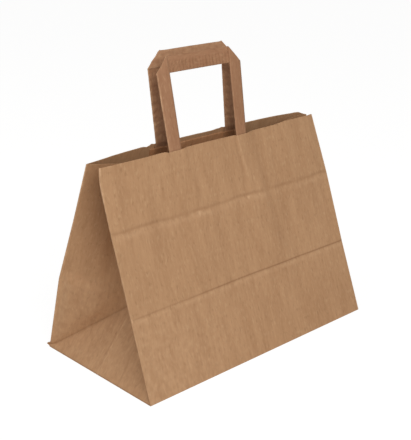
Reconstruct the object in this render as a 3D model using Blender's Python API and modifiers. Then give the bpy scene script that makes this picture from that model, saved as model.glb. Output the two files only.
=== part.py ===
"""Kraft paper carrier bag with a block bottom, tucked side gussets and two flat paper handles.

The bag stands open on its base. X runs along the front panel, -Y is the front, +Z is up, and the
origin is the middle of the base. All sizes are in metres and all angles in degrees. Both faces are
described alike: x along the panel, and the height of paper from the base edge towards the rim.
"""

import math

import bmesh
import bpy
from mathutils import Vector

# The bag's sheet
BAG_WIDTH = 0.330
BAG_DEPTH = 0.170
BAG_HEIGHT = 0.240  # length of paper from the base edge to the rim
PAPER = 0.0002
FOLD_ROUND = 0.0006  # half the blunt edge of each gusset fold

# The Y at which each corner of the rim ends. The bag stands a little askew.
FRONT_LEFT_RIM = -0.0117
FRONT_RIGHT_RIM = 0.0038
REAR_LEFT_RIM = 0.0086
REAR_RIGHT_RIM = 0.0089

# How much more than a straight panel each corner leans from the base edge to the bottom fold, from
# there to the pressed crease, and from there to the rim
FRONT_LEFT_BENDS = (0.9, 1.6, -3.0)
FRONT_RIGHT_BENDS = (0.1, -1.2, 1.3)
REAR_LEFT_BENDS = (-4.4, 3.0, 1.7)
REAR_RIGHT_BENDS = (0.3, -0.4, 0.1)

# How far the middle of each rim stands out past its ends
FRONT_BOW = 0.0062
REAR_BOW = 0.0061
BOW_FLATNESS = 4  # a higher power keeps more of the rim straight between the handles

# The flaps pasted over each other under the base
FLAP_PAST_MIDDLE = 0.012  # the rear flap's free edge lies this far in front of the middle
FLAP_SEAM = 0.0006  # open line between the two flaps' edges
FLAP_INSET = 0.0005  # the flaps end this far inside the base edges
FLAP_BITE = 0.00005  # how far the flaps sink into the base that they are pasted to

# The handles, each a strip mitred over at its two top corners
HANDLE_WIDTH = 0.118  # outside of one leg to the outside of the other
HANDLE_RISE = 0.0938  # rim to the band's top edge
STRIP_WIDTH = 0.0172
STRIP = 0.0008  # thickness of the strip, which is itself folded from several layers
MITRE_BITE = 0.0002  # how far the band sinks into the legs where the strip is folded over
MITRE_STEP = 0.0003  # the band's folded ends stop this far inside the legs' edges
FOOT_LENGTH = 0.043  # leg below the rim
RIM_CLEAR = 0.0006  # the legs bend this far above the rim
FRONT_HANDLE_SHIFT = -0.0177  # the handles are pasted left of the bag's middle
REAR_HANDLE_SHIFT = -0.0114
FRONT_HANDLE_LEANS = (14.3, 8.7)  # left and right leg, towards the back of the bag
REAR_HANDLE_LEANS = (9.3, 5.4)

# The patches that hold the handles' feet against the panels
PATCH_MARGIN = 0.007  # past the feet at both sides and below
PATCH_DROP = 0.005  # rim to the patch's top edge
PATCH_RAMP = 0.004  # run in which the patch steps down beside a foot
FOOT_SIDE_CLEAR = 0.0006
GLUE_GAP = 0.0003

# How finely the bent paper is divided
PANEL_COLUMNS = 12  # in half a panel
GUSSET_COLUMNS = 4  # in half a gusset
BAND_COLUMNS = 6
ROWS_PER_BAND = 3
LEG_ROWS = 3

WELD = 0.000001
KRAFT_SHEET = {"colour": (0.462, 0.266, 0.147, 1.0), "roughness": 0.82}
KRAFT_STRIP = {"colour": (0.376, 0.202, 0.107, 1.0), "roughness": 0.85}
KRAFT_PATCH = {"colour": (0.418, 0.235, 0.128, 1.0), "roughness": 0.85}

HALF_WIDTH = BAG_WIDTH / 2
HALF_DEPTH = BAG_DEPTH / 2
FOLD_HEIGHT = HALF_DEPTH  # the bottom folds up along a line half the depth above the base
CREASE_HEIGHT = BAG_DEPTH  # the folded bottom's edge presses a crease one depth above the base
PATCH_FOOT = BAG_HEIGHT - FOOT_LENGTH - PATCH_MARGIN
BASE_LIFT = PAPER  # the base rests on the flaps pasted under it

FACES = {
    "front": {
        "out": -1,
        "rims": (FRONT_LEFT_RIM, FRONT_RIGHT_RIM),
        "bends": (FRONT_LEFT_BENDS, FRONT_RIGHT_BENDS),
        "bow": FRONT_BOW,
        "shift": FRONT_HANDLE_SHIFT,
        "handle_leans": FRONT_HANDLE_LEANS,
    },
    "rear": {
        "out": 1,
        "rims": (REAR_LEFT_RIM, REAR_RIGHT_RIM),
        "bends": (REAR_LEFT_BENDS, REAR_RIGHT_BENDS),
        "bow": REAR_BOW,
        "shift": REAR_HANDLE_SHIFT,
        "handle_leans": REAR_HANDLE_LEANS,
    },
}


def clear_scene():
    for item in list(bpy.data.objects):
        bpy.data.objects.remove(item)


def collection(name):
    made = bpy.data.collections.new(name)
    bpy.context.scene.collection.children.link(made)
    return made


def paper_material(name, look):
    material = bpy.data.materials.new(name)
    material.use_nodes = True
    shader = material.node_tree.nodes["Principled BSDF"]
    shader.inputs["Base Color"].default_value = look["colour"]
    shader.inputs["Roughness"].default_value = look["roughness"]
    shader.inputs["Metallic"].default_value = 0.0
    return material


def mix(start, end, share):
    return start + (end - start) * share


def sheet_rows():
    """Heights of paper at which panels and gussets are divided, from the bottom fold to the rim.
    The stretch under the rim is one straight row, so the handles' feet lie flat on it."""
    straight = max(PATCH_FOOT, CREASE_HEIGHT)
    stops = sorted({FOLD_HEIGHT, CREASE_HEIGHT, straight, BAG_HEIGHT})
    rows = [stops[0]]
    for low, high in zip(stops, stops[1:]):
        steps = 1 if high == BAG_HEIGHT else ROWS_PER_BAND
        rows += [mix(low, high, step / steps) for step in range(1, steps + 1)]
    return rows


ROWS = sheet_rows()


def lean_at(face, x, height):
    """The panel's lean inwards just above this height of paper."""
    zone = (height >= FOLD_HEIGHT) + (height >= CREASE_HEIGHT)
    out = FACES[face]["out"]
    left, right = [
        math.degrees(math.asin((HALF_DEPTH - out * rim) / BAG_HEIGHT)) + bends[zone]
        for rim, bends in zip(FACES[face]["rims"], FACES[face]["bends"])
    ]
    return math.radians(mix(left, right, (x + HALF_WIDTH) / BAG_WIDTH))


def bow(face, x, height):
    """How far the panel stands out from a straight one, most of all in the middle of the rim."""
    climb = max(0.0, (height - FOLD_HEIGHT) / (BAG_HEIGHT - FOLD_HEIGHT))
    across = 1 - abs(x / HALF_WIDTH) ** BOW_FLATNESS
    return FACES[face]["bow"] * climb**2 * across


def panel_point(face, x, height, depth=0.0):
    """A point of a panel at this x and height of paper, and this far inside its outer face.
    Every step up keeps the paper's length, so a panel that stands out further leans less."""
    out = FACES[face]["out"]
    end = Vector((x, out * HALF_DEPTH, BASE_LIFT))
    for low, high in zip([0.0, *ROWS], ROWS):
        step = high - low
        inward = step * math.sin(lean_at(face, x, low)) - bow(face, x, high) + bow(face, x, low)
        start, end = end, end + Vector((0, -out * inward, math.sqrt(step**2 - inward**2)))
        if height <= high or high == BAG_HEIGHT:
            along = (end - start).normalized()
            inside = Vector((0, -out * along.z, out * along.y))
            return start.lerp(end, (height - low) / step) + inside * depth


def tucked_point(side, first, second, third, to_third):
    """The point inside the bag that is half the depth from two edge points, and to_third from a third."""
    middle = (first + second) / 2
    edge = (second - first).normalized()
    reach = math.sqrt(HALF_DEPTH**2 - (second - first).length_squared / 4)
    towards = third - middle
    towards -= edge * towards.dot(edge)
    far = towards.length
    towards.normalize()
    off_edge = edge.dot(third - middle)
    along = (reach**2 + far**2 - (to_third**2 - off_edge**2)) / (2 * far)
    aside = math.sqrt(max(0.0, reach**2 - along**2))
    across = edge.cross(towards)
    if across.x * side > 0:
        across.negate()
    return middle + towards * along + across * aside


def gusset_apex(side):
    """Where a gusset's folds meet: half the depth from both ends of the bottom fold and from the
    middle of the base edge, because the paper between them lies flat."""
    folds = [panel_point(face, side * HALF_WIDTH, FOLD_HEIGHT) for face in FACES]
    return tucked_point(side, *folds, Vector((side * HALF_WIDTH, 0, BASE_LIFT)), HALF_DEPTH)


def gusset_top(side):
    """The tucked end of a gusset's rim, half the depth from both corners of the rim."""
    corners = [panel_point(face, side * HALF_WIDTH, BAG_HEIGHT) for face in FACES]
    return tucked_point(side, *corners, gusset_apex(side), BAG_HEIGHT - FOLD_HEIGHT)


def add_grid(mesh, columns, rows, place):
    """Adds a grid of faces, each corner put where place(column, row) says."""
    grid = bmesh.ops.create_grid(mesh, x_segments=columns, y_segments=rows, size=0.5)
    for vertex in grid["verts"]:
        column, row = (vertex.co.x + 0.5) * columns, (vertex.co.y + 0.5) * rows
        vertex.co = place(round(column), round(row))


def add_quarter(mesh, face, side):
    """Half of one panel, half of one gusset and a quarter of the base, cut at the bag's middles."""
    out = FACES[face]["out"]
    outward = Vector((0, out * FOLD_ROUND, 0))
    corner = Vector((side * HALF_WIDTH, out * HALF_DEPTH, BASE_LIFT))
    middle = Vector((side * HALF_WIDTH, 0, BASE_LIFT))
    apex, top = gusset_apex(side), gusset_top(side)

    def panel(column, row):
        return panel_point(face, side * HALF_WIDTH * column / PANEL_COLUMNS, ROWS[row])

    def lower_panel(column, row):
        return panel_point(face, side * HALF_WIDTH * column / PANEL_COLUMNS, FOLD_HEIGHT * row)

    def corner_fold(column, row):
        return panel(PANEL_COLUMNS, row) - outward * 2 * column

    def tucked_fold(column, row):
        climb = (ROWS[row] - FOLD_HEIGHT) / (BAG_HEIGHT - FOLD_HEIGHT)
        return apex.lerp(top, climb) + outward * (1 - column)

    def gusset(column, row):
        return corner_fold(1, row).lerp(tucked_fold(0, row), column / GUSSET_COLUMNS)

    def base(column, row):
        y = (corner.y, outward.y, 0.0)[row]
        return Vector((side * HALF_WIDTH * column / PANEL_COLUMNS, y, BASE_LIFT))

    def base_triangle(column, row):
        return (middle + outward).lerp(tucked_fold(0, 0), column) if row else corner

    def base_fold(column, row):
        return middle.lerp(tucked_fold(1, 0), row) + outward * (1 - column)

    add_grid(mesh, PANEL_COLUMNS, 2, base)
    add_grid(mesh, PANEL_COLUMNS, 1, lower_panel)
    add_grid(mesh, PANEL_COLUMNS, len(ROWS) - 1, panel)
    add_grid(mesh, 1, 1, lambda column, row: corner_fold(column, 0) if row else corner)
    add_grid(mesh, 1, len(ROWS) - 1, corner_fold)
    add_grid(mesh, GUSSET_COLUMNS, 1, lambda column, row: gusset(column, 0) if row else corner)
    add_grid(mesh, GUSSET_COLUMNS, len(ROWS) - 1, gusset)
    add_grid(mesh, 1, len(ROWS) - 1, tucked_fold)
    add_grid(mesh, 1, 1, base_triangle)
    add_grid(mesh, 1, 1, base_fold)


def mesh_object(name, folder, mesh):
    """An object made of this mesh, with its doubles merged and its faces pointing out."""
    bmesh.ops.remove_doubles(mesh, verts=mesh.verts, dist=WELD)
    bmesh.ops.dissolve_degenerate(mesh, edges=mesh.edges, dist=WELD)
    bmesh.ops.recalc_face_normals(mesh, faces=mesh.faces)
    data = bpy.data.meshes.new(name)
    mesh.to_mesh(data)
    mesh.free()
    made = bpy.data.objects.new(name, data)
    folder.objects.link(made)
    return made


def thicken(item, thickness, offset):
    wall = item.modifiers.new("Paper", "SOLIDIFY")
    wall.thickness = thickness
    wall.offset = offset
    wall.use_even_offset = True


def unite(item, other):
    """Joins another solid to this one, and keeps it as a hidden guide."""
    other.hide_render = True
    other.display_type = "WIRE"
    union = item.modifiers.new("Join " + other.name, "BOOLEAN")
    union.operation = "UNION"
    union.object = other


def base_flap(name, folder, face, free_edge):
    """One of the two flaps folded over under the base, its corners mitred along the side folds."""
    out = FACES[face]["out"]
    edge = out * (HALF_DEPTH - FLAP_INSET)
    run = abs(edge - free_edge)
    inner = HALF_WIDTH - FLAP_INSET
    mitre = min(run, HALF_DEPTH)
    outline = bpy.data.curves.new(name, "CURVE")
    outline.dimensions = "2D"
    outline.fill_mode = "BOTH"
    outline.extrude = (PAPER + FLAP_BITE) / 2
    spline = outline.splines.new("POLY")
    corners = [(-inner, edge), (inner, edge), (inner - mitre, free_edge), (mitre - inner, free_edge)]
    spline.points.add(len(corners) - 1)
    for point, (x, y) in zip(spline.points, corners):
        point.co = (x, y, 0, 1)
    spline.use_cyclic_u = True
    curve = bpy.data.objects.new(name + "_outline", outline)
    folder.objects.link(curve)
    curve.location.z = outline.extrude
    bpy.context.view_layer.update()
    evaluated = curve.evaluated_get(bpy.context.evaluated_depsgraph_get())
    data = bpy.data.meshes.new_from_object(evaluated)
    made = bpy.data.objects.new(name, data)
    made.matrix_world = curve.matrix_world.copy()
    bpy.data.objects.remove(curve)
    mesh = bmesh.new()
    mesh.from_mesh(data)
    bmesh.ops.remove_doubles(mesh, verts=mesh.verts, dist=WELD)
    mesh.to_mesh(data)
    mesh.free()
    folder.objects.link(made)
    return made


def build_bag(parts, guides):
    mesh = bmesh.new()
    for face in FACES:
        for side in (-1, 1):
            add_quarter(mesh, face, side)
    bag = mesh_object("bag_body", parts, mesh)
    thicken(bag, PAPER, -1)
    unite(bag, base_flap("rear_base_flap", guides, "rear", -FLAP_PAST_MIDDLE))
    unite(bag, base_flap("front_base_flap", guides, "front", -FLAP_PAST_MIDDLE - FLAP_SEAM))
    bag.data.materials.append(paper_material("Kraft paper", KRAFT_SHEET))


def leg_spans(face):
    """The outer and inner x of the left and right legs."""
    shift = FACES[face]["shift"]
    outer, inner = HANDLE_WIDTH / 2, HANDLE_WIDTH / 2 - STRIP_WIDTH
    return (shift - outer, shift - inner), (shift + outer, shift + inner)


def handle_point(face, x, rise, depth):
    """A point of a handle this far above the bend at the rim, and this far inside the panel's outer
    face. Below the bend the foot follows the panel, above it each leg has its own lean."""
    seat = PAPER + GLUE_GAP + STRIP / 2
    if rise <= 0:
        return panel_point(face, x, BAG_HEIGHT + RIM_CLEAR + rise, seat + depth)
    shift = FACES[face]["shift"]
    left, right = FACES[face]["handle_leans"]
    lean = math.radians(mix(left, right, (x - shift) / HANDLE_WIDTH + 0.5))
    along = Vector((0, math.sin(lean), math.cos(lean)))
    inside = Vector((0, along.z, -along.y)) * -FACES[face]["out"]
    return panel_point(face, x, BAG_HEIGHT + RIM_CLEAR, seat) + along * rise + inside * depth


def build_leg(name, folder, face, outer, inner):
    """A leg with its foot, its top cut slantwise where the strip is folded over into the band."""
    foot = -RIM_CLEAR - FOOT_LENGTH

    def leg(column, row):
        x = mix(outer, inner, column)
        if row == 0:
            return handle_point(face, x, foot, 0)
        top = HANDLE_RISE - STRIP_WIDTH * (1 - column)
        return handle_point(face, x, top * (row - 1) / LEG_ROWS, 0)

    mesh = bmesh.new()
    add_grid(mesh, 1, LEG_ROWS + 1, leg)
    made = mesh_object(name, folder, mesh)
    thicken(made, STRIP, 0)
    return made


def build_band(name, folder, face):
    """The band between the legs, on their inner side, its ends cut along the same slants."""

    def band(column, row):
        half = HANDLE_WIDTH / 2 - MITRE_STEP - STRIP_WIDTH * row
        x = FACES[face]["shift"] + mix(-half, half, column / BAND_COLUMNS)
        return handle_point(face, x, HANDLE_RISE - STRIP_WIDTH * (1 - row), STRIP - MITRE_BITE)

    mesh = bmesh.new()
    add_grid(mesh, BAND_COLUMNS, 1, band)
    made = mesh_object(name, folder, mesh)
    thicken(made, STRIP, 0)
    return made


def build_handle(face, parts, guides):
    left, right = leg_spans(face)
    handle = build_leg(face + "_handle", parts, face, *left)
    unite(handle, build_band(face + "_band", guides, face))
    unite(handle, build_leg(face + "_right_leg", guides, face, *right))
    handle.data.materials.append(paper_material("Folded kraft strip", KRAFT_STRIP))


def patch_profile(face):
    """(x, depth inside the panel's outer face) of the patch's middle, stepping over both feet."""
    low = PAPER + GLUE_GAP + PAPER / 2
    high = low + STRIP + GLUE_GAP
    profile = []
    for span in leg_spans(face):
        start, end = sorted(span)
        start, end = start - FOOT_SIDE_CLEAR, end + FOOT_SIDE_CLEAR
        profile += [(start - PATCH_RAMP, low), (start, high), (end, high), (end + PATCH_RAMP, low)]
    edge = HANDLE_WIDTH / 2 + PATCH_MARGIN
    shift = FACES[face]["shift"]
    return [(shift - edge, low), *profile, (shift + edge, low)]


def build_patch(face, parts):
    profile = patch_profile(face)

    def patch(column, row):
        x, depth = profile[column]
        return panel_point(face, x, (PATCH_FOOT, BAG_HEIGHT - PATCH_DROP)[row], depth)

    mesh = bmesh.new()
    add_grid(mesh, len(profile) - 1, 1, patch)
    made = mesh_object(face + "_handle_patch", parts, mesh)
    thicken(made, PAPER, 0)
    made.data.materials.append(paper_material("Kraft patch", KRAFT_PATCH))


def main():
    clear_scene()
    parts = collection("paper_carrier_bag")
    guides = collection("guides")
    build_bag(parts, guides)
    for face in FACES:
        build_handle(face, parts, guides)
        build_patch(face, parts)


main()
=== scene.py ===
"""Looks of a brown kraft paper carrier bag: its folded sheet, base flaps, handles and patches.

Everything is in metres. X runs along the front panel, -Y is the front, +Z is up, and the origin is
the middle of the base. A place on the paper is given by x along a panel, or by the distance in from
a panel along a gusset, and by the height of paper above the base edge.
"""

import functools
import math

import bmesh
import bpy
import numpy as np
from bpy.props import FloatProperty, IntProperty, PointerProperty, StringProperty
from mathutils import Matrix, Vector


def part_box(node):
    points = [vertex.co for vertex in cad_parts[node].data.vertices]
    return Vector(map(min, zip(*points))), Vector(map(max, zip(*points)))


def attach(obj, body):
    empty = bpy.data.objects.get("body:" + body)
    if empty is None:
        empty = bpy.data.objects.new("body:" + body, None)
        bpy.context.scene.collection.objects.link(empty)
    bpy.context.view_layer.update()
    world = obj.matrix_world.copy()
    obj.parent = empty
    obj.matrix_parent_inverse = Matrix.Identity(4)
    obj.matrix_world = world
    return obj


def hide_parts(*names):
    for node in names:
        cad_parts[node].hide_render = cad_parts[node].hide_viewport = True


bl_info = {
    "name": "Kraft Paper Carrier Bag",
    "version": (1, 0, 0),
    "blender": (4, 5, 0),
    "location": "View3D > Sidebar > Paper Bag",
    "description": "Builds a block-bottomed kraft paper bag with folded paper handles",
    "category": "Object",
}

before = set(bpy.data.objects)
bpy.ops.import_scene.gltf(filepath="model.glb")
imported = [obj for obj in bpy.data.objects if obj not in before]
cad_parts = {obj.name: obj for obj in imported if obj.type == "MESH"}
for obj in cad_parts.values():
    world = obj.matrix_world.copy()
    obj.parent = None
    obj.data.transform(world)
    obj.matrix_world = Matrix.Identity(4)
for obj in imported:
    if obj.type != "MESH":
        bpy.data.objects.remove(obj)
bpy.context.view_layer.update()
BAG_LOW, BAG_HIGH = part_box("bag_body")

# Sizes of the folded sheet
HALF_WIDTH = (BAG_HIGH[0] - BAG_LOW[0]) / 2
HALF_DEPTH = (BAG_HIGH[1] - BAG_LOW[1]) / 2
RIM_ROW = 0.240  # the rim: this much paper lies between it and the base edge
FOLD_ROW = HALF_DEPTH  # where the bottom folds up
CREASE_ROW = 2 * HALF_DEPTH  # where the folded bottom's edge was pressed into the panels
PAPER = 0.0002
FOLD_ROUND = 0.0006  # half the blunt edge of each gusset fold
# The bottom was folded a little askew: how much higher its lines run at the left, middle and right
FOLD_RISE = {"front": (0.0025, 0.0030, 0.0014), "rear": (0.0066, 0.0040, 0.0014)}
CREASE_RISE = (0.0029, 0.0020, 0.0004)

# Spacing of the sheet's mesh beside a fold, and how far from a fold and from a foot it widens
FINEST_CELL = 0.0008
FOLD_REACH = 0.014
FOOT_REACH = 0.010

# Each panel: which way it faces, where its rim ends at the left and right, how many degrees more
# its lower, middle and upper stretch lean than a straight panel, how far its rim bows out, and how
# clearly its left and right foot press through
PANELS = {
    "front": {
        "out": -1, "rims": (-0.0117, 0.0038), "bends": ((0.9, 1.6, -3.0), (0.1, -1.2, 1.3)),
        "bow": 0.0062, "feet": (0.35, 1.0),
    },
    "rear": {
        "out": 1, "rims": (0.0086, 0.0089), "bends": ((-4.4, 3.0, 1.7), (0.3, -0.4, 0.1)),
        "bow": 0.0061, "feet": (0.7, 0.6),
    },
}
BOW_FLATNESS = 4
FOLD_TURN, CREASE_TURN = 0.0005, 0.004  # half the height over which a panel turns at each

# The front's left corner: its width, then how many degrees it leans in and stands up, and where
CORNER_REACH = 0.075
CORNER_LEANS, CORNER_LEAN_ROWS = 4.0, (0.190, 0.028)
CORNER_STANDS, CORNER_STAND_ROWS = 15.0, (0.216, 0.236)

# How each fold is pressed: how deep and over what length the paper sinks below it, then how far it
# stands out above it and how soon
FOLD_PRESSED = (0.0005, 0.0034, 0.0003, 0.0010)
CREASE_PRESSED = (0.0011, 0.0062, 0.0006, 0.0028)

# The print of a foot through a panel: its slant, the rows over which it comes in, and those of the
# line that trails down from it
FOOT_SLANT = 0.14
PRINT_ROWS = (0.178, 0.196)
TRAIL_ROWS = (0.088, 0.110)

# The lips beside each leg, at its left and right: how far out, how far aside and how wide
RIM_LIPS = ((0.0016, -0.0040, 0.0026), (0.0010, 0.0035, 0.0020))

# The paper's soft waves; the upright ones grow from the first height to the second at the crease
BROAD_WAVE = 0.0005
PANEL_RIPPLE, GUSSET_RIPPLE = 0.00004, 0.00006
UPRIGHT_WAVES = (0.00022, 0.00042)

# How far a gusset bellies out, sinks in its long valley, and kicks out over the bottom fold
GUSSET_BELLY, GUSSET_VALLEY, GUSSET_KICK = 0.0026, 0.0028, 0.0052

# How far the rear left base corner is pinched out, and the rear right rim corner turned in
EAR_OUT = (-0.0012, 0.0048, 0.0)
RIM_CORNER_IN = (-0.0052, -0.0012, -0.0008)

# How far the cut rim stands above its even height, in millimetres, at places along the panel
RIM_HEIGHTS = {
    "front": (
        (-165, -107, -84, -79, -59, -52, -19, 20, 25, 42, 50, 88, 109, 165),
        (0.5, 0.0, 0.3, -1.2, -0.9, 0.0, 0.0, -0.4, -1.5, -1.4, -0.3, -0.1, 1.1, 0.9),
    ),
    "rear": (
        (-165, -147, -118, -88, -83, -81, -77, -72, -36, 12, 18, 21, 31, 150, 160, 165),
        (0.5, -0.6, -0.6, 0.1, -1.4, -1.6, 0.4, -0.6, 0.2, -0.4, 0.5, 0.4, 0.0, -0.4, -2.2, -3.0),
    ),
}
CUT_FROM = 0.222  # the row from which the uneven cut begins to shift the paper

# Where the rear panel overlaps at the side seam, how high the step stands, and how soft it is
SEAM_X, SEAM_STEP, SEAM_BLEND = 0.140, 0.00025, 0.0006

# Where a fold is rubbed pale: x, row, reach and how much
RUBBED_SPOTS = {
    "front": (
        (-0.0495, 0.1668, 0.0028, 1.0),
        (0.0129, 0.1672, 0.0018, 0.7),
        (0.0260, 0.1676, 0.0018, 0.8),
        (0.0430, 0.1676, 0.0016, 0.6),
        (-0.1650, 0.0846, 0.0020, 1.0),
    ),
    "rear": ((0.0310, 0.1672, 0.0020, 0.6), (-0.0900, 0.1676, 0.0018, 0.6)),
}
# The side edges carry rubbing and a painted highlight, both strongest from these rows up
EDGE_WEAR_AND_HIGHLIGHT_ROWS = (0.190, 0.225)  # the side edges are rubbed most from here up

# Where each piece starts on the web of paper that carries the patterns, so that none are alike
WEB = {
    "front": 0, "rear": 1, "gusset": 2, "tuck": 4, "base": 6, "strip": 7, "flaps": 7.5, "patch": 9,
}

# The paper's clouds, streaks, grain, bark, pale fibres, and patches of rubbing and painted light:
# size across and along the sheet in millimetres, detail, and a fixed shift. Real fibres are 0.03 mm
# wide and flecks under 1 mm, too fine to show, so all but clouds and patches are drawn coarser, 2
# to 4 mm wide.
PAPER_PATTERNS = (
    (15, 70, 2.0, 3.1), (3.4, 30, 2.0, 7.7), (3.2, 8.0, 1.5, 11.3),
    (2.4, 6.0, 0.5, 17.9), (2.2, 6.5, 0.5, 23.3), (6.0, 7.0, 1.0, 29.1),
)
BARK_FLECK, PALE_FLECK = "#805c3c", "#d4b18a"
# The tint for rubbing and painted light, and the colour of painted shade
WORN_AND_LIT_TINT, FOLD_SHADE = "#dab18a", "#7c5536"

# The flaps folded under the base
FLAP_PAST_MIDDLE = 0.012
FLAP_SEAM = 0.0006
FLAP_INSET = 0.0005

# The handles' strips
HANDLE_WIDTH = 0.118
HANDLE_RISE = 0.0938
STRIP_WIDTH = 0.0172
STRIP = 0.0008
FOOT_LENGTH = 0.043
RIM_CLEAR = 0.0006
GLUE_GAP = 0.0003
STRIP_SEAT = PAPER + GLUE_GAP + STRIP / 2  # from a panel's outer face in to a foot's middle
RIM_BEND = (-0.0015, 0.0030)  # a leg bends from the panel's lean to its own between these heights
LAYER_STEP = STRIP + 0.0001  # from a leg's middle in to the band that is folded over it
FOLD_PRESS = 0.35  # how far a pressed fold's back stands out, as a share of a round one's
LEG_STEPS, TURN_STEPS, BAND_STEPS = 230, 6, 180
LEG_CRIMPS = 0.55  # how closely a leg's crimps follow each other, as a share of the band's

# Each handle: how far aside it sits, the lean of its left and right leg in degrees, how much
# painted light and painted shade its left leg, band and right leg get, and how clearly band and
# legs are crimped. The rear strip gets painted light against the shadow the front handle casts on
# it, and the front band and right leg get painted shade.
HANDLES = {
    "front": {
        "shift": -0.0177, "leans": (14.3, 8.7), "crimps": (0.9, 0.10),
        "painted_light": (0.0, 0.0, 0.0), "painted_shade": (0.0, 0.14, 0.34),
    },
    "rear": {
        "shift": -0.0114, "leans": (9.3, 5.4), "crimps": (0.15, 0.6),
        "painted_light": (0.14, 0.30, 0.14), "painted_shade": (0.0, 0.0, 0.0),
    },
}

# The patches over the handles' feet
PATCH_MARGIN = 0.007
PATCH_DROP = 0.005
PATCH_STEP = (0.0006, 0.0046)  # beside a foot: where the patch leaves it, and meets the panel

# The photograph's camera, in pixels of its 411 x 440 frame, degrees and metres
PHOTO_WIDTH, PHOTO_HEIGHT = 411, 440
FOCAL_PIXELS = 989.36
OPTICAL_CENTRE = (204.90, 216.72)
CAMERA_PLACE = (-0.7199, -0.7312, 0.5143)
CAMERA_AZIMUTH = 44.0575
CAMERA_DROP = 20.2554
CAMERA_ROLL = 0.9064

# The stage: half the floor's side, how far below the base it lies, how much it is lifted to white
# where it is seen directly, and each softbox's place, the point that it faces, and its side
FLOOR_HALF = 4.0
FLOOR_DROP = 0.0001
FLOOR_LIFT, FLOOR_GLOW = 0.78, 1.14
LAMPS = {
    "key_softbox": ((-0.68, -1.52, 1.38), (0, 0, 0.12), 1.2),
    "back_softbox": ((-1.28, 0.48, 1.38), (-0.1, 0, 0.05), 0.95),
}

WELD = 0.00001  # points of a mesh closer than this are one
SHARP_FOLD = 28  # a fold sharper than this, in degrees, is drawn as a hard edge


def linear(code):
    """An sRGB hex colour as linear red, green, blue and alpha."""
    channels = [int(code[place : place + 2], 16) / 255 for place in (1, 3, 5)]
    return (*[c / 12.92 if c <= 0.04045 else ((c + 0.055) / 1.055) ** 2.4 for c in channels], 1.0)


def ease(start, end, value):
    """0 before start, 1 after end, and a smooth step between them."""
    share = np.clip((value - start) / (end - start), 0, 1)
    return share * share * (3 - 2 * share)


def bell(value, centre, reach):
    """1 at the centre, falling off smoothly over the reach at both sides."""
    return np.exp(-(((value - centre) / reach) ** 2))


def mix(start, end, share):
    return start + (end - start) * share


def stacked(*parts):
    return np.stack(parts, axis=-1)


class SoftNoise:
    """Smooth random waves over a surface, from -1 to 1, the same each run."""

    def __init__(self, seed, lengths, count=14):
        rng = np.random.default_rng(seed)
        angles = rng.uniform(0, 2 * math.pi, count)
        waves = 2 * math.pi / rng.uniform(0.7, 1.6, count)
        self.along = waves * np.cos(angles) / lengths[0]
        self.up = waves * np.sin(angles) / lengths[1]
        self.phase = rng.uniform(0, 2 * math.pi, count)

    def at(self, along, up):
        total = sum(
            np.sin(a * along + u * up + p) for a, u, p in zip(self.along, self.up, self.phase)
        )
        return total / math.sqrt(len(self.phase))


def graded(stops, coarsest, reach=FOLD_REACH):
    """Places from the first stop to the last, close together near each stop and wider between."""
    places = [stops[0]]
    for start, end in zip(stops, stops[1:]):
        run = [0.0]
        while run[-1] < end - start:
            near = min(run[-1], end - start - run[-1])
            run.append(run[-1] + mix(FINEST_CELL, coarsest, min(1.0, max(0.0, near / reach))))
        places += list(start + np.array(run[1:]) * (end - start) / run[-1])
    return np.array(places)


def sheet_rows(cell):
    """The rows of the sheet, and how many of them lie up to the bottom fold. A row is named by the
    height at which it would run if the folds were straight."""
    lower = graded((0.0, FOLD_ROW), cell)
    upper = graded((FOLD_ROW, CREASE_ROW, RIM_ROW), cell)
    return np.concatenate([lower, upper[1:]]), len(lower)


def panel_columns(face, cell):
    """The x of each column, close together at the feet, and at the seam or in the foot that presses
    through the front."""
    stops = [edge for span in foot_spans(face) for edge in span]
    stops.append(SEAM_X if face == "rear" else stops[2] + 0.0085)
    return graded((-HALF_WIDTH, *sorted(stops), HALF_WIDTH), cell, FOOT_REACH)


def paper_height(face, x, row, trimmed):
    """The height of paper at this row. The fold and the crease run a little askew, and where the
    panel is trimmed its rim is uneven."""
    marks = (-HALF_WIDTH, 0.0, HALF_WIDTH)
    fold, crease = np.interp(x, marks, FOLD_RISE[face]), np.interp(x, marks, CREASE_RISE)
    low = row / FOLD_ROW * fold
    middle = mix(fold, crease, (row - FOLD_ROW) / (CREASE_ROW - FOLD_ROW))
    high = crease * (RIM_ROW - row) / (RIM_ROW - CREASE_ROW)
    height = row + np.where(row < FOLD_ROW, low, np.where(row < CREASE_ROW, middle, high))
    if not trimmed:
        return height
    places, uneven = RIM_HEIGHTS[face]
    return height + 0.001 * np.interp(x * 1000, places, uneven) * ease(CUT_FROM, RIM_ROW, row)


def lean(face, x, height):
    """How far a panel leans inwards, in radians. The bottom fold is crisp, the pressed crease soft,
    and the front panel's left corner stands up straighter near the rim."""
    panel = PANELS[face]
    past_fold = ease(FOLD_ROW - FOLD_TURN, FOLD_ROW + FOLD_TURN, height)
    past_crease = ease(CREASE_ROW - CREASE_TURN, CREASE_ROW + CREASE_TURN, height)
    sides = []
    for rim, (lower, middle, upper) in zip(panel["rims"], panel["bends"]):
        straight = math.degrees(math.asin((HALF_DEPTH - panel["out"] * rim) / RIM_ROW))
        bend = lower + (middle - lower) * past_fold + (upper - middle) * past_crease
        sides.append(straight + bend)
    angle = mix(sides[0], sides[1], (x + HALF_WIDTH) / (2 * HALF_WIDTH))
    if face == "front":
        corner = 1 - ease(0, CORNER_REACH, x + HALF_WIDTH)
        more = CORNER_LEANS * bell(height, *CORNER_LEAN_ROWS)
        angle = angle + corner * (more - CORNER_STANDS * ease(*CORNER_STAND_ROWS, height))
    return np.radians(angle)


def bow(face, x, height):
    climb = np.clip((height - FOLD_ROW) / (RIM_ROW - FOLD_ROW), 0, None)
    return PANELS[face]["bow"] * climb**2 * (1 - np.abs(x / HALF_WIDTH) ** BOW_FLATNESS)


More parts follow.
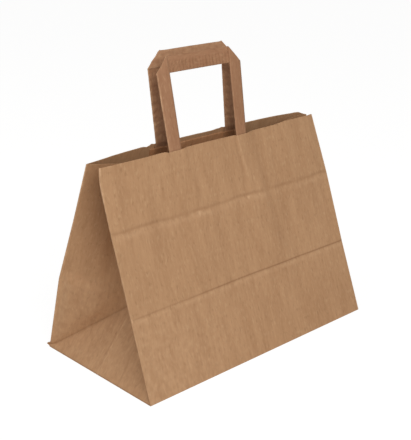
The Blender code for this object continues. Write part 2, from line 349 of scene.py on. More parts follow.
def plain_panel(face, columns, rows, trimmed):
    """The panel's outer face before its creases and waves, as a rows x columns grid of points."""
    out = PANELS[face]["out"]
    x, row = np.meshgrid(columns, rows)
    height = paper_height(face, x, row, trimmed)
    step = np.diff(height, axis=0)
    middle = (row[1:] + row[:-1]) / 2
    inward = step * np.sin(lean(face, x[1:], middle)) - np.diff(bow(face, x, row), axis=0)
    rise = np.sqrt(step**2 - inward**2)
    zero = np.zeros((1, len(columns)))
    y = out * (HALF_DEPTH - np.concatenate([zero, np.cumsum(inward, axis=0)]))
    z = PAPER + np.concatenate([zero, np.cumsum(rise, axis=0)])
    return stacked(x, y, z)


def grid_normals(points, out):
    """Unit normals of a grid of points, turned to the side of out in Y or X."""
    along = np.gradient(points, axis=1)
    up = np.gradient(points, axis=0)
    normals = np.cross(along, up)
    length = np.linalg.norm(normals, axis=-1, keepdims=True)
    normals = normals / np.maximum(length, 1e-12)
    flip = np.sign(np.sum(normals * np.asarray(out), axis=-1, keepdims=True))
    return normals * np.where(flip == 0, 1, flip)


def foot_spans(face):
    """The x at which each foot of a handle starts and ends."""
    shift = HANDLES[face]["shift"]
    outer, inner = HANDLE_WIDTH / 2, HANDLE_WIDTH / 2 - STRIP_WIDTH
    return (shift - outer, shift - inner), (shift + inner, shift + outer)


def pressed_fold(away, depth, below, lip, above):
    """A fold seen from outside: going up, the paper sinks over below, then comes out over above."""
    under = depth * ease(0, below, -away) * (1 - ease(below, 4 * below, -away))
    over = lip * ease(0, above, away) * (1 - ease(above, 8 * above, away))
    return under + over


def crease_row(x):
    """The row of the pressed crease, which wanders a little along the panel."""
    wander = 0.6 * np.sin(x * 41 + 0.6) + 0.4 * np.sin(x * 97) + 0.3 * np.sin(x * 223)
    return CREASE_ROW + 0.001 * wander


def foot_print(x, row, start, amount):
    """How far a point lies past a pressed-through foot's slanting edge, and how clearly the foot,
    and the line that trails down from it, show there."""
    past = x - start - FOOT_SLANT * (RIM_ROW - row)
    return past, amount * ease(*PRINT_ROWS, row), amount**3 * ease(*TRAIL_ROWS, row)


def foot_relief(x, row, start, amount):
    """A handle's foot pressed through from inside: a ridge along its inner edge, which runs aslant,
    a slow fall over its width and a valley past it."""
    past, printed, trail = foot_print(x, row, start, amount)
    ridge = 0.0010 * ease(-0.0024, 0.0, past) * (1 - ease(0.0, 0.022, past))
    valley = 0.0006 * bell(past, 0.0245, 0.0055)
    return ridge * printed - valley * np.maximum(printed, amount * trail)


def rim_relief(face, x, row):
    """The rim curls out in a small lip at both sides of each leg."""
    total = 0
    for span in foot_spans(face):
        for edge, (out, aside, reach) in zip(span, RIM_LIPS):
            total = total + out * bell(x, edge + aside, reach)
    return total * ease(0.230, RIM_ROW, row)


def panel_relief(face, x, row, waves):
    """How far the panel's paper stands out of its plain shape: folds, feet pressed through from
    inside, and the soft waves of paper that was packed flat."""
    inset = HALF_WIDTH - np.abs(x)
    edge = ease(0, 0.012, inset)
    patchy = 0.7 + 0.3 * np.sin(x * 63 + 1.0) * np.sin(x * 23)
    fold = pressed_fold(row - FOLD_ROW, *FOLD_PRESSED) * ease(0, 0.004, inset)
    crease = pressed_fold(row - crease_row(x), *CREASE_PRESSED) * patchy
    feet = SEAM_STEP * ease(SEAM_X - SEAM_BLEND, SEAM_X + SEAM_BLEND, x) * (face == "rear")
    for (start, _), amount in zip(foot_spans(face), PANELS[face]["feet"]):
        feet = feet + foot_relief(x, row, start, amount)
    broad, ripple, upright = waves
    soft = BROAD_WAVE * broad.at(x, row) * ease(0.02, 0.10, row) + PANEL_RIPPLE * ripple.at(x, row)
    soft = soft + mix(*UPRIGHT_WAVES, ease(0.160, 0.185, row)) * upright.at(x, row)
    soft = soft * (1 - 0.7 * ease(0.205, RIM_ROW, row)) * ease(0, 0.030, row)
    return fold + (crease + feet + soft) * edge


def stray_corner(face, x, row):
    """The bag's rear left corner is pinched out just above the floor, and its rear right corner is
    turned in at the rim."""
    if face == "front":
        return np.zeros((*x.shape, 3))
    ear = bell(row, 0.0034, 0.0016) * ease(0, 0.0015, row) * (1 - ease(0, 0.007, x + HALF_WIDTH))
    turned = ease(0.212, RIM_ROW, row) * (1 - ease(0, 0.022, HALF_WIDTH - x))
    return ear[..., None] * EAR_OUT + turned[..., None] * RIM_CORNER_IN


@functools.lru_cache(maxsize=None)
def bent_panel(face, cell, seed, trimmed=True):
    """The panel's outer face with its folds and waves: (columns, rows, grid of points)."""
    columns, (rows, _) = panel_columns(face, cell), sheet_rows(cell)
    points = plain_panel(face, columns, rows, trimmed)
    x, row = np.meshgrid(columns, rows)
    normals = grid_normals(points, (0, PANELS[face]["out"], 0))
    relief = panel_relief(face, x, row, paper_waves(seed))
    if trimmed:
        relief = relief + rim_relief(face, x, row)
    relief = relief * ease(0, 0.004, row) * ease(0, 0.004, HALF_WIDTH - np.abs(x))
    points = points + normals * relief[..., None]
    return columns, rows, points + (stray_corner(face, x, row) if trimmed else 0)


def paper_waves(seed):
    """The sheet's broad, small and upright waves."""
    return [
        SoftNoise(seed, (0.075, 0.110)),
        SoftNoise(seed + 1, (0.012, 0.034)),
        SoftNoise(seed + 2, (0.022, 0.170)),
    ]


def tucked_point(side, first, second, third, to_third):
    """The point inside the bag half the depth from two edge points and to_third from a third."""
    middle = (first + second) / 2
    edge = (second - first) / np.linalg.norm(second - first)
    reach = math.sqrt(HALF_DEPTH**2 - np.sum((second - first) ** 2) / 4)
    towards = third - middle
    off_edge = float(towards @ edge)
    towards = towards - edge * off_edge
    far = np.linalg.norm(towards)
    towards = towards / far
    along = (reach**2 + far**2 - (to_third**2 - off_edge**2)) / (2 * far)
    aside = math.sqrt(max(0.0, reach**2 - along**2))
    across = np.cross(edge, towards)
    if across[0] * side > 0:
        across = -across
    return middle + towards * along + across * aside


class Gusset:
    """The tucked side of the bag, folded from the corners of the two panels."""

    def __init__(self, side, corners, strays, rows, lower):
        self.side, self.rows, self.lower = side, rows, lower
        self.corners = corners  # face -> the panel's even side edge, one point for each row
        self.strays = strays  # face -> how far the edge has strayed from it
        folds = [corners[face][lower - 1] for face in PANELS]
        rims = [corners[face][-1] for face in PANELS]
        self.middle = np.array([side * HALF_WIDTH, 0, PAPER])
        self.apex = tucked_point(side, *folds, self.middle, HALF_DEPTH)
        self.top = tucked_point(side, *rims, self.apex, RIM_ROW - FOLD_ROW)

    def half(self, face, into):
        """A grid of this face's half, over the rows and the distances in from its panel."""
        out = PANELS[face]["out"]
        blunt = np.array([0, out * FOLD_ROUND, 0])
        edge = self.corners[face] - 2 * blunt * ease(0, FOLD_ROW, self.rows)[:, None]
        corner = np.array([self.side * HALF_WIDTH, out * HALF_DEPTH, PAPER])
        fold, apex, foot = edge[self.lower - 1], self.apex + blunt, self.middle + blunt
        inward = (into / HALF_DEPTH)[:, None]
        points = np.zeros((len(self.rows), len(into), 3))
        for row, height in enumerate(self.rows):
            if row >= self.lower:
                climb = (height - FOLD_ROW) / (RIM_ROW - FOLD_ROW)
                points[row] = mix(edge[row], mix(self.apex, self.top, climb) + blunt, inward)
                continue
            up = height / HALF_DEPTH
            upper = corner + (fold - corner) * (up - inward) + (apex - corner) * inward
            lower = corner + (foot - corner) * (inward - up) + (apex - corner) * up
            points[row] = np.where(inward <= up, upper, lower)
        fade = 1 - ease(0, 0.25, inward[:, 0])
        return points + self.strays[face][:, None] * fade[:, None]


def gusset_relief(face, into, row, waves):
    """How far a gusset half's paper stands out of its flat folds, towards the bag's outside: it
    bellies out, sinks in a long valley, and on the rear half kicks out over the bottom fold."""
    share = into / HALF_DEPTH
    above = ease(FOLD_ROW, FOLD_ROW + 0.030, row)
    under_rim = 1 - ease(0.150, RIM_ROW, row)
    belly = GUSSET_BELLY * np.sin(math.pi * np.clip(share, 0, 1)) * above * mix(0.25, 1, under_rim)
    valley = GUSSET_VALLEY * bell(share, 0.62, 0.13) * mix(0.35, 1, bell(row, 0.128, 0.034))
    valley = valley * ease(FOLD_ROW + 0.004, FOLD_ROW + 0.030, row)
    kick = GUSSET_KICK * (face == "rear") * ease(0.010, FOLD_ROW - 0.004, row)
    kick = kick * (1 - ease(FOLD_ROW, FOLD_ROW + 0.015, row)) * ease(0, 0.022, row - into)
    kick = kick * ease(0.02, 0.16, share) * (1 - ease(0.45, 0.85, share))
    broad, ripple, _ = waves
    free = ease(0, 0.012, into) * ease(0, 0.012, HALF_DEPTH - into)
    loose = free * ease(0, 0.02, row) * ease(0, 0.006, np.abs(row - into))
    soft = BROAD_WAVE * broad.at(into + 0.4, row) + GUSSET_RIPPLE * ripple.at(into, row)
    return (belly + kick - valley) * ease(0, 0.008, into) + soft * loose


def bent_gusset(gusset, face, into, waves):
    points = gusset.half(face, into)
    normals = grid_normals(points, (gusset.side, 0, 0))
    distance, row = np.meshgrid(into, gusset.rows)
    relief = gusset_relief(face, distance, row, waves)
    crest = 0.0012 * bell(distance, HALF_DEPTH, 0.0026) * ease(0, 0.02, row)
    relief = np.where(distance > row, crest * ease(0, 0.01, distance - row), relief)
    return points + normals * relief[..., None]


def panel_tones(face, x, row):
    """How much a panel's paper is lightened by rubbing and painted light, and darkened by painted
    shade, along its folds and over its feet: light is painted below its fold and crease, at its
    lower left, along its side edges and on its feet's ridges, shade in its fold, above its crease
    and beside its feet.
    """
    # Painted light: the front panel is painted lighter towards its lower left
    painted_light_low_left = (1 - ease(0.04, 0.11, row)) * (1 - ease(-0.15, 0.05, x)) * (face == "front")
    wear_and_painted_light = [
        # Rubbing and a painted highlight along the side edges
        mix(0.25, 1.0, ease(*EDGE_WEAR_AND_HIGHLIGHT_ROWS, row)) * bell(np.abs(x), HALF_WIDTH, 0.0013),
        # Painted light in strips below the bottom fold and below the pressed crease
        0.26 * bell(row, FOLD_ROW - 0.0038, 0.0026),
        0.24 * bell(row, crease_row(x) - 0.0044, 0.0034),
        0.24 * painted_light_low_left,
    ]
    for spot_x, spot_row, reach, amount in RUBBED_SPOTS[face]:
        wear_and_painted_light.append(amount * bell(x, spot_x, reach) * bell(row, spot_row, reach))
    # Painted shade: a dark line in the bottom fold, and a band above the pressed crease, uneven
    # along it
    crease_shade_strength = 0.34 + 0.12 * np.sin(x * 71) * np.sin(x * 29 + 1)
    shade = [
        mix(0.45, 1.0, ease(-0.10, -0.03, x)) * bell(row, FOLD_ROW, 0.0008),
        crease_shade_strength * bell(row, crease_row(x) + 0.0010, 0.0019),
    ]
    for (start, _), amount in zip(foot_spans(face), PANELS[face]["feet"]):
        past, printed, trail = foot_print(x, row, start, amount)
        # Painted highlight on each foot's ridge; painted shade beside it, in the valley past it and
        # along the line that trails down from it
        wear_and_painted_light.append(0.50 * printed * bell(past, 0.0006, 0.0011))
        shade.append(0.40 * printed * bell(past, 0.0235, 0.0045))
        shade.append(0.22 * printed * bell(past, -0.0040, 0.0028))
        shade.append(0.36 * trail * bell(past, 0.0250, 0.0070))
    return np.maximum.reduce(wear_and_painted_light), np.maximum.reduce(shade)


def gusset_tones(side, into, row):
    """How much a gusset half's paper is lightened by rubbing and painted light, and darkened by
    painted shade: highlights are painted along its folds and light low on the left gusset, shade
    above its diagonal fold and in the tuck towards the rim, and a shadow along the base edge.
    """
    below = row < FOLD_ROW
    wear_and_painted_light = (
        # Painted highlight below the diagonal fold
        0.22 * bell(into - row, 0.0012, 0.0010) * below,
        # Rubbing and a painted highlight on the fold edge at the panel
        0.80 * bell(into, 0, 0.0008),
        0.26 * bell(into, HALF_DEPTH, 0.0010) * (row < into),
        # Painted light: the left gusset's lower part is painted lighter
        0.20 * (1 - ease(0.075, 0.115, row)) * (side < 0),
    )
    shade = (
        # Painted shade above the diagonal fold, a painted shadow along the base edge, and painted
        # shade in the tuck towards the rim
        0.75 * bell(row - into, 0.0012, 0.0016) * below,
        bell(row, 0, 0.0011),
        0.26 * ease(0.120, 0.190, row),
    )
    return np.maximum.reduce(wear_and_painted_light), np.maximum.reduce(shade)


class SheetMesh:
    """Collects grids of points, with a paper map, and at each point its lightening by rubbing and
    painted light, and its painted shade.
    """

    def __init__(self):
        self.parts, self.faces, self.count = [], [], 0

    def keep(self, points, paper_map, wear_and_painted_light, shade):
        tones = [np.broadcast_to(tone, points.shape[:-1]).reshape(-1) for tone in (wear_and_painted_light, shade)]
        self.parts.append((points.reshape(-1, 3), paper_map.reshape(-1, 2), *tones))
        self.count += len(tones[0])

    def add(self, points, paper_map, wear_and_painted_light=0.0, shade=0.0, diagonal=0):
        """Adds a grid. Its cells up to this many along the diagonal are cut in two along it."""
        rows, columns = points.shape[:2]
        index = np.arange(rows * columns).reshape(rows, columns) + self.count
        quads = stacked(index[:-1, :-1], index[:-1, 1:], index[1:, 1:], index[1:, :-1])
        cut = np.zeros(quads.shape[:2], dtype=bool)
        for cell in range(diagonal):
            cut[cell, cell] = True
            a, b, c, d = quads[cell, cell].tolist()
            self.faces += [[a, b, c], [a, c, d]]
        self.faces += quads[~cut].tolist()
        self.keep(points, paper_map, wear_and_painted_light, shade)

    def add_edge(self, first, second, paper_map, wear_and_painted_light):
        """Adds the narrow face round a fold, between two lines of points."""
        paper_map = np.stack([paper_map, paper_map + (0.001, 0)], axis=1)
        self.add(np.stack([first, second], axis=1), paper_map, wear_and_painted_light)

    def add_polygon(self, points, paper_map):
        self.faces.append(list(range(self.count, self.count + len(points))))
        self.keep(points, paper_map, 0.0, 0.0)

    def build(self, name, material, recalculate=True):
        points, maps, wear_and_painted_light, shade = map(np.concatenate, zip(*self.parts))
        mesh = bpy.data.meshes.new(name)
        mesh.from_pydata(points.tolist(), [], self.faces)
        corners = [corner for face in self.faces for corner in face]
        layer = mesh.uv_layers.new(name="paper")
        layer.data.foreach_set("uv", maps[corners].reshape(-1))
        # Each point's rubbing with painted light, and its painted shade
        point_values(mesh, "fold_wear_and_painted_light", wear_and_painted_light)
        point_values(mesh, "fold_shade", shade)
        work = bmesh.new()
        work.from_mesh(mesh)
        bmesh.ops.remove_doubles(work, verts=work.verts, dist=WELD)
        bmesh.ops.dissolve_degenerate(work, edges=work.edges, dist=WELD)
        if recalculate:
            bmesh.ops.recalc_face_normals(work, faces=work.faces)
        work.to_mesh(mesh)
        work.free()
        mesh.materials.append(material)
        mesh.shade_smooth()
        mesh.set_sharp_from_angle(angle=math.radians(SHARP_FOLD))
        return new_object(name, mesh)


def point_values(mesh, name, values):
    layer = mesh.attributes.new(name, "FLOAT", "POINT")
    layer.data.foreach_set("value", values.reshape(-1).astype(np.float32))


def new_object(name, data):
    made = bpy.data.objects.new(name, data)
    bpy.context.scene.collection.objects.link(made)
    return made


def empty_tree(owner):
    """The node tree of a material or a world, cleared."""
    owner.use_nodes = True
    owner.node_tree.nodes.clear()
    return owner.node_tree


def thicken(item, thickness, offset, even=True):
    wall = item.modifiers.new("Paper thickness", "SOLIDIFY")
    wall.thickness = thickness
    wall.offset = offset
    wall.use_even_offset = even


def add(tree, kind, inputs=None, **settings):
    """Adds a node with its settings, and links or fills its inputs."""
    made = tree.nodes.new(kind)
    for name, value in settings.items():
        setattr(made, name, value)
    for name, value in (inputs or {}).items():
        socket = made.inputs[name]
        if isinstance(value, bpy.types.NodeSocket):
            tree.links.new(value, socket)
        else:
            socket.default_value = value
    return made


def kraft_paper(name, colours):
    """Unbleached kraft paper: long brown softwood fibres show as faint streaks up the sheet, uneven
    pulp clouds it, and bark and pale fibre make sparse flecks. Rubbing lightens folds, and the
    sheet's painted light and painted shade are mixed into the colour."""
    material = bpy.data.materials.new(name)
    tree = empty_tree(material)
    paper = add(tree, "ShaderNodeUVMap", uv_map="paper").outputs["UV"]
    wear_and_painted_light = add(tree, "ShaderNodeAttribute", attribute_name="fold_wear_and_painted_light").outputs["Fac"]
    shade = add(tree, "ShaderNodeAttribute", attribute_name="fold_shade").outputs["Fac"]

    patterns = []
    for across, along, detail, seed in PAPER_PATTERNS:
        spread = (1000 / across, 1000 / along, 1)
        laid = {"Vector": paper, "Location": (seed, seed * 0.37, 0), "Scale": spread}
        place = add(tree, "ShaderNodeMapping", laid).outputs["Vector"]
        noise = {"Vector": place, "Scale": 1.0, "Detail": detail, "Roughness": 0.55}
        patterns.append(add(tree, "ShaderNodeTexNoise", noise).outputs["Fac"])
    cloud, streaks, grain, bark, fibre, patchy = patterns

    # Rubbing and painted light, both lighter in patches
    worn_and_lit = add(tree, "ShaderNodeMapRange", {"Value": patchy, "From Min": 0.35, "From Max": 0.65})
    for operation, other in (("ADD", grain), ("MULTIPLY", wear_and_painted_light)):
        worn_and_lit = add(tree, "ShaderNodeMath", {0: worn_and_lit.outputs[0], 1: other}, operation=operation)

    # Each layer: its pattern, the values between which it comes in, how much, and its colour
    colour = linear(colours.colour)
    for value, low, high, most, tint in (
        (cloud, 0.40, 0.72, 0.62, colours.dark),
        (streaks, 0.42, 0.75, 0.50, colours.dark),
        (grain, 0.45, 0.80, 0.40, colours.pale),
        (bark, 0.62, 0.76, 0.24, BARK_FLECK),
        (fibre, 0.60, 0.74, 0.20, PALE_FLECK),
        # Rubbing with painted light, then painted shade
        (worn_and_lit.outputs[0], 0.05, 1.30, 1.0, WORN_AND_LIT_TINT),
        (shade, 0.0, 1.0, 0.55, FOLD_SHADE),
    ):
        limits = {"Value": value, "From Min": low, "From Max": high, "To Max": most}
        share = add(tree, "ShaderNodeMapRange", limits).outputs["Result"]
        layer = {0: share, 6: colour, 7: linear(tint)}
        colour = add(tree, "ShaderNodeMix", layer, data_type="RGBA").outputs[2]

    rough = add(tree, "ShaderNodeMapRange", {"Value": grain, "From Min": -1.2, "From Max": 1.0})
    height = add(tree, "ShaderNodeMath", {0: streaks, 1: grain}, operation="ADD").outputs[0]
    bump = add(tree, "ShaderNodeBump", {"Height": height, "Strength": 0.35, "Distance": 0.00012})
    finish = {
        "Base Color": colour,
        "Roughness": rough.outputs["Result"],
        "IOR": 1.45,
        "Specular IOR Level": 0.25,
        "Normal": bump.outputs["Normal"],
    }
    shader = add(tree, "ShaderNodeBsdfPrincipled", finish).outputs["BSDF"]
    add(tree, "ShaderNodeOutputMaterial", {"Surface": shader})
    return material


class SheetSettings(bpy.types.PropertyGroup):
    """The bag's folded sheet."""

    cell: FloatProperty(
        name="Mesh spacing", description="Widest gap between points", default=0.0038, unit="LENGTH"
    )
    seed: IntProperty(name="Wave seed", description="Picks the paper's random waves", default=5)
    colour: StringProperty(name="Paper", description="Kraft paper, sRGB hex", default="#bb916b")
    dark: StringProperty(name="Streaks", description="Darker pulp, sRGB hex", default="#a87e5a")
    pale: StringProperty(name="Pale grain", description="Paler fibre, sRGB hex", default="#c59d77")


class HandleSettings(bpy.types.PropertyGroup):
    """The two handles."""

    crimp_pitch: FloatProperty(
        name="Crimp pitch", description="Distance between crimps", default=0.0046, unit="LENGTH"
    )
    crimp_depth: FloatProperty(
        name="Crimp depth", description="How far crimps stand out", default=0.0011, unit="LENGTH"
    )
    unevenness: FloatProperty(
        name="Crimp unevenness", description="How many crimps they stray by", default=1.2
    )
    colour: StringProperty(name="Strip", description="Folded strip, sRGB hex", default="#ac7f5f")
    dark: StringProperty(name="Streaks", description="Darker pulp, sRGB hex", default="#996c4e")
    pale: StringProperty(name="Pale grain", description="Paler fibre, sRGB hex", default="#b78d6b")


class PatchSettings(bpy.types.PropertyGroup):
    """The two patches."""

    colour: StringProperty(name="Patch", description="Pasted patch, sRGB hex", default="#bd8961")
    dark: StringProperty(name="Streaks", description="Darker pulp, sRGB hex", default="#a5734c")
    pale: StringProperty(name="Pale grain", description="Paler fibre, sRGB hex", default="#c99a72")


class StageSettings(bpy.types.PropertyGroup):
    """Floor, lights and camera."""

    key: FloatProperty(name="Key light", description="Watts of the key softbox", default=20.4)
    back: FloatProperty(name="Back light", description="Watts of the back softbox", default=5.2)
    room: FloatProperty(name="Room light", description="Strength of the room's light", default=0.38)


def base_outline(columns, into):
    """The base's edge, once around, through the same points as the panels and gussets."""
    front, rear = columns["front"], columns["rear"]
    fold = [-FOLD_ROUND, FOLD_ROUND]
    right = np.concatenate([into[1:-1] - HALF_DEPTH, fold, HALF_DEPTH - into[-2:0:-1]])
    x = np.concatenate([front, 0 * right + HALF_WIDTH, rear[::-1], 0 * right - HALF_WIDTH])
    y = np.concatenate([0 * front - HALF_DEPTH, right, 0 * rear + HALF_DEPTH, -right])
    return stacked(x, y, 0 * x + PAPER)


def build_sheet(settings, material):
    """Both panels, both gussets and the base as one folded sheet."""
    rows, lower = sheet_rows(settings.cell)
    into = rows[:lower]
    waves = paper_waves(settings.seed)
    sheet = SheetMesh()
    corners, strays, columns = {-1: {}, 1: {}}, {-1: {}, 1: {}}, {}
    for face in PANELS:
        columns[face], _, points = bent_panel(face, settings.cell, settings.seed)
        even = bent_panel(face, settings.cell, settings.seed, False)[2]
        for side, column in ((-1, 0), (1, -1)):
            corners[side][face] = even[:, column]
            strays[side][face] = points[:, column] - even[:, column]
        x, row = np.meshgrid(columns[face], rows)
        sheet.add(points, stacked(x + WEB[face], row), *panel_tones(face, x, row))
    distance, row = np.meshgrid(into, rows)
    # The narrow folds round the side edges: rubbing and a painted highlight, strongest near the rim
    edge_wear_and_highlight = mix(0.35, 1.0, ease(*EDGE_WEAR_AND_HIGHLIGHT_ROWS, rows))[:, None]
    for side in (-1, 1):
        gusset = Gusset(side, corners[side], strays[side], rows, lower)
        tucked = []
        for face in PANELS:
            points = bent_gusset(gusset, face, into, waves)
            place = WEB["gusset"] + WEB[face] + side * 0.2
            paper_map = stacked(distance + place, row)
            sheet.add(points, paper_map, *gusset_tones(side, distance, row), lower - 1)
            edge = corners[side][face] + strays[side][face]
            sheet.add_edge(edge, points[:, 0], paper_map[:, 0], edge_wear_and_highlight)
            tucked.append(points[:, -1])
        sheet.add_edge(*tucked, stacked(np.full(len(rows), WEB["tuck"]), rows), 0.5)
    outline = base_outline(columns, into)
    sheet.add_polygon(outline, outline[:, :2] + (WEB["base"], 0))
    bag = sheet.build("kraft_sheet", material)
    thicken(bag, PAPER, -1)
    return bag


def build_flaps(material):
    """The two mitred flaps folded and pasted under the base, which meet near its middle."""
    flaps = SheetMesh()
    share = np.linspace(0, 1, 9)
    for number, outer in enumerate((-1, 1)):
        long_edge = outer * (HALF_DEPTH - FLAP_INSET)
        y = mix(long_edge, outer * FLAP_SEAM / 2 - FLAP_PAST_MIDDLE, share)
        half = HALF_WIDTH - FLAP_INSET - np.abs(y - long_edge)
        x = half[:, None] * np.linspace(-1, 1, 25)
        points = stacked(x, y[:, None] + 0 * x, 0 * x + PAPER / 2)
        wear_and_painted_light = 0.2 * bell(share[:, None] + 0 * x, 0, 0.1)
        flaps.add(points, points[..., :2] + (WEB["flaps"] + number, 0), wear_and_painted_light)
    made = flaps.build("base_flaps", material, recalculate=False)
    thicken(made, PAPER * 0.8, 0)
    return made


class BAG_OT_sheet(bpy.types.Operator):
    """Builds the bag's folded sheet and the flaps under its base"""

    bl_idname = "paper_bag.sheet"
    bl_label = "Folded Sheet"

    def execute(self, context):
        settings = context.scene.bag_sheet
        # Matt machine-finished kraft, with the fibres' streaks along the bag's height
        material = kraft_paper("Brown kraft paper, machine finished", settings)
        for piece in (build_sheet(settings, material), build_flaps(material)):
            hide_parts("bag_body")
            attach(piece, "root")
        return {"FINISHED"}


def strip_seat(face, x, rise):
    """(point, way inwards) on a handle's middle surface, this far above the bend at the rim."""
    out = PANELS[face]["out"]
    settings = bpy.context.scene.bag_sheet
    columns, rows, panel = bent_panel(face, settings.cell, settings.seed, False)
    row = RIM_ROW + RIM_CLEAR + np.minimum(rise, 0)
    low = np.clip(np.searchsorted(rows, row) - 1, 0, len(rows) - 2)
    left = np.clip(np.searchsorted(columns, x) - 1, 0, len(columns) - 2)
    up = ((row - rows[low]) / (rows[low + 1] - rows[low]))[:, None]
    across = ((x - columns[left]) / (columns[left + 1] - columns[left]))[:, None]
    under, over = [mix(panel[at, left], panel[at, left + 1], across) for at in (low, low + 1)]
    along = (over - under) / np.linalg.norm(over - under, axis=-1, keepdims=True)
    foot_in = stacked(0 * x, -out * along[:, 2], out * along[:, 1])

    share = (x - HANDLES[face]["shift"]) / HANDLE_WIDTH + 0.5
    angle = np.radians(mix(*HANDLES[face]["leans"], share))
    along = stacked(0 * x, np.sin(angle), np.cos(angle))
    above_in = stacked(0 * x, along[:, 2], -along[:, 1]) * -out
    inside = mix(foot_in, above_in, ease(*RIM_BEND, rise)[:, None])
    inside = inside / np.linalg.norm(inside, axis=-1, keepdims=True)
    point = mix(under, over, up) + foot_in * STRIP_SEAT + along * np.maximum(rise, 0)[:, None]
    return point, inside


def handle_strip(face):
    """One strip as a sheet of points: up a leg, over a slanted fold, along the band, over the other
    fold and down. Its grid holds (across, x, rise, depth in from the leg's layer, run along it)."""
    across = np.linspace(0, STRIP_WIDTH, 9)
    low, half = HANDLE_RISE - STRIP_WIDTH, HANDLE_WIDTH / 2
    foot = -RIM_CLEAR - FOOT_LENGTH
    leg, band = [], []
    for step in range(LEG_STEPS + 1):
        rise = foot + (low + across - foot) * step / LEG_STEPS
        leg.append((across, across - half, rise, 0 * across, rise - foot))
    for step in range(1, TURN_STEPS):
        turn = math.pi * step / TURN_STEPS
        back = FOLD_PRESS * LAYER_STEP / 2 * math.sin(turn) * math.sqrt(0.5)
        depth = LAYER_STEP / 2 * (1 - math.cos(turn)) + 0 * across
        leg.append((across, across - half - back, low + across + back, depth, low + across - foot))
    for step in range(BAND_STEPS + 1):
        x = mix(across - half, half - across, step / BAND_STEPS)
        band.append((across, x, low + across, LAYER_STEP + 0 * across, low - foot + x + half))
    length = 2 * (low - foot + half)
    other = [(a, -x, rise, depth, length - run) for a, x, rise, depth, run in reversed(leg)]
    grid = np.array([stacked(*row) for row in leg + band + other])
    _, x, rise, depth, _ = grid.reshape(-1, 5).T
    point, inside = strip_seat(face, x + HANDLES[face]["shift"], rise)
    return (point + inside * depth[:, None]).reshape(*grid.shape[:2], 3), grid


def crimp_tree():
    """A tree that crimps a strip: short waves across its length, uneven from place to place, with
    painted shade in their valleys.
    """
    tree = bpy.data.node_groups.new("Crimped strip", "GeometryNodeTree")
    sizes = {"Crimp Pitch": "Float", "Crimp Depth": "Float", "Unevenness": "Float"}
    for name, kind in {"Geometry": "Geometry", **sizes, "Material": "Material"}.items():
        tree.interface.new_socket(name, in_out="INPUT", socket_type="NodeSocket" + kind)
    tree.interface.new_socket("Geometry", in_out="OUTPUT", socket_type="NodeSocketGeometry")
    group = add(tree, "NodeGroupInput").outputs
    run, weight, toned = [
        add(tree, "GeometryNodeInputNamedAttribute", {"Name": name}).outputs["Attribute"]
        for name in ("run", "crimp", "fold_shade")
    ]
    place = add(tree, "GeometryNodeInputPosition").outputs["Position"]
    # Scale 210 to the metre makes the crimps uneven every 5 mm
    cloud = {"Vector": place, "Scale": 210.0, "Detail": 1.0}
    noise = add(tree, "ShaderNodeTexNoise", cloud).outputs["Fac"]
    shift = add(tree, "ShaderNodeMath", {0: noise, 1: group["Unevenness"]}, operation="MULTIPLY")
    wave = run
    for operation, other in (
        ("DIVIDE", group["Crimp Pitch"]),
        ("ADD", shift.outputs[0]),
        ("MULTIPLY", 2 * math.pi),
        ("SINE", 0.0),
        ("MULTIPLY", noise),
    ):
        wave = add(tree, "ShaderNodeMath", {0: wave, 1: other}, operation=operation).outputs[0]
    depth = wave
    for other in (group["Crimp Depth"], weight):
        depth = add(tree, "ShaderNodeMath", {0: depth, 1: other}, operation="MULTIPLY").outputs[0]
    # Painted shade in the valleys between crimps, from none to all of it where they are deepest,
    # kept where the strip's own painted shade is deeper
    valley = {"Value": wave, "From Min": 0.0, "From Max": -0.55}
    dark = add(tree, "ShaderNodeMapRange", valley).outputs["Result"]
    for operation, other in (("MULTIPLY", weight), ("MAXIMUM", toned)):
        dark = add(tree, "ShaderNodeMath", {0: dark, 1: other}, operation=operation).outputs[0]
    normal = add(tree, "GeometryNodeInputNormal").outputs["Normal"]
    offset = add(tree, "ShaderNodeVectorMath", {0: normal, "Scale": depth}, operation="SCALE")
    strip = group["Geometry"]
    for kind, inputs in (
        ("GeometryNodeStoreNamedAttribute", {"Name": "fold_shade", "Value": dark}),
        ("GeometryNodeSetPosition", {"Offset": offset.outputs[0]}),
        ("GeometryNodeRealizeInstances", {}),
        ("GeometryNodeSetMaterial", {"Material": group["Material"]}),
    ):
        strip = add(tree, kind, {"Geometry": strip, **inputs}).outputs[0]
    add(tree, "NodeGroupOutput", {"Geometry": strip})
    return tree


def plain_mesh(item):
    """The object with its modifiers turned into a plain mesh."""
    graph = bpy.context.evaluated_depsgraph_get()
    data = bpy.data.meshes.new_from_object(item.evaluated_get(graph))
    item.modifiers.clear()
    item.data = data
    return item


